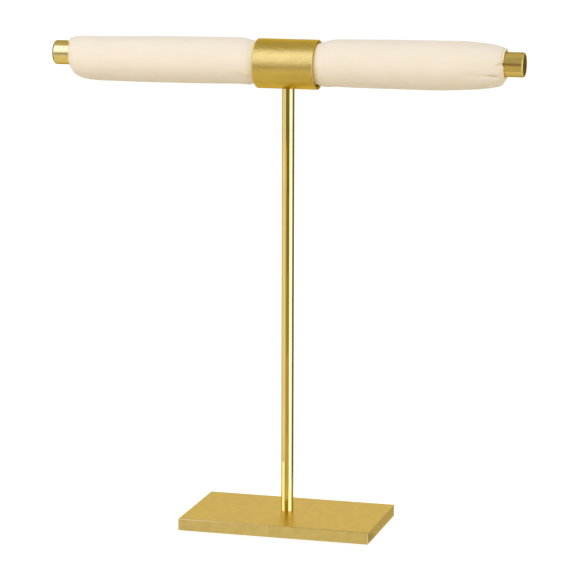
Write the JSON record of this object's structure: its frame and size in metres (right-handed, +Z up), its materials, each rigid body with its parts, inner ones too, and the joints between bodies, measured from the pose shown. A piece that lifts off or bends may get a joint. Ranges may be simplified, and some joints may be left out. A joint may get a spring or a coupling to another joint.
{
  "type": "ring display stand",
  "caption": "Free-standing T-shaped ring display stand: flat metal base, slim post and short sleeve that holds a bar with a padded cloth roll, gathered at its ends.",
  "frame": {"origin": "middle of the pad's underside, on the surface that the stand rests on and on the post's axis", "axes": "+X along the bar to the right as seen from the front, +Y to the back, +Z up the post"},
  "size_m": [0.195, 0.046, 0.2018],
  "materials": {
    "base_gold": "satin gold plating on steel",
    "post_gold": "drawn and satin gold plated steel rod",
    "sleeve_gold": "fine grained satin gold plating on steel",
    "bar_gold": "satin gold plated steel bar",
    "screw_steel": "zinc plated steel",
    "pad_foam": "matt closed-cell foam sheet",
    "padding_foam": "soft wadding",
    "cover_cloth": "smooth cream microfibre cloth",
    "thread": "cream sewing thread"
  },
  "bodies": {
    "root": {"base_pad": "pad_foam", "base_plate": "base_gold", "base_screw": "screw_steel", "post": "post_gold", "sleeve": "sleeve_gold", "sleeve_screw": "screw_steel", "bar": "bar_gold", "padding": "padding_foam", "cover": "cover_cloth", "draw_thread_left": "thread", "draw_thread_right": "thread"}
  },
  "joints": []
}
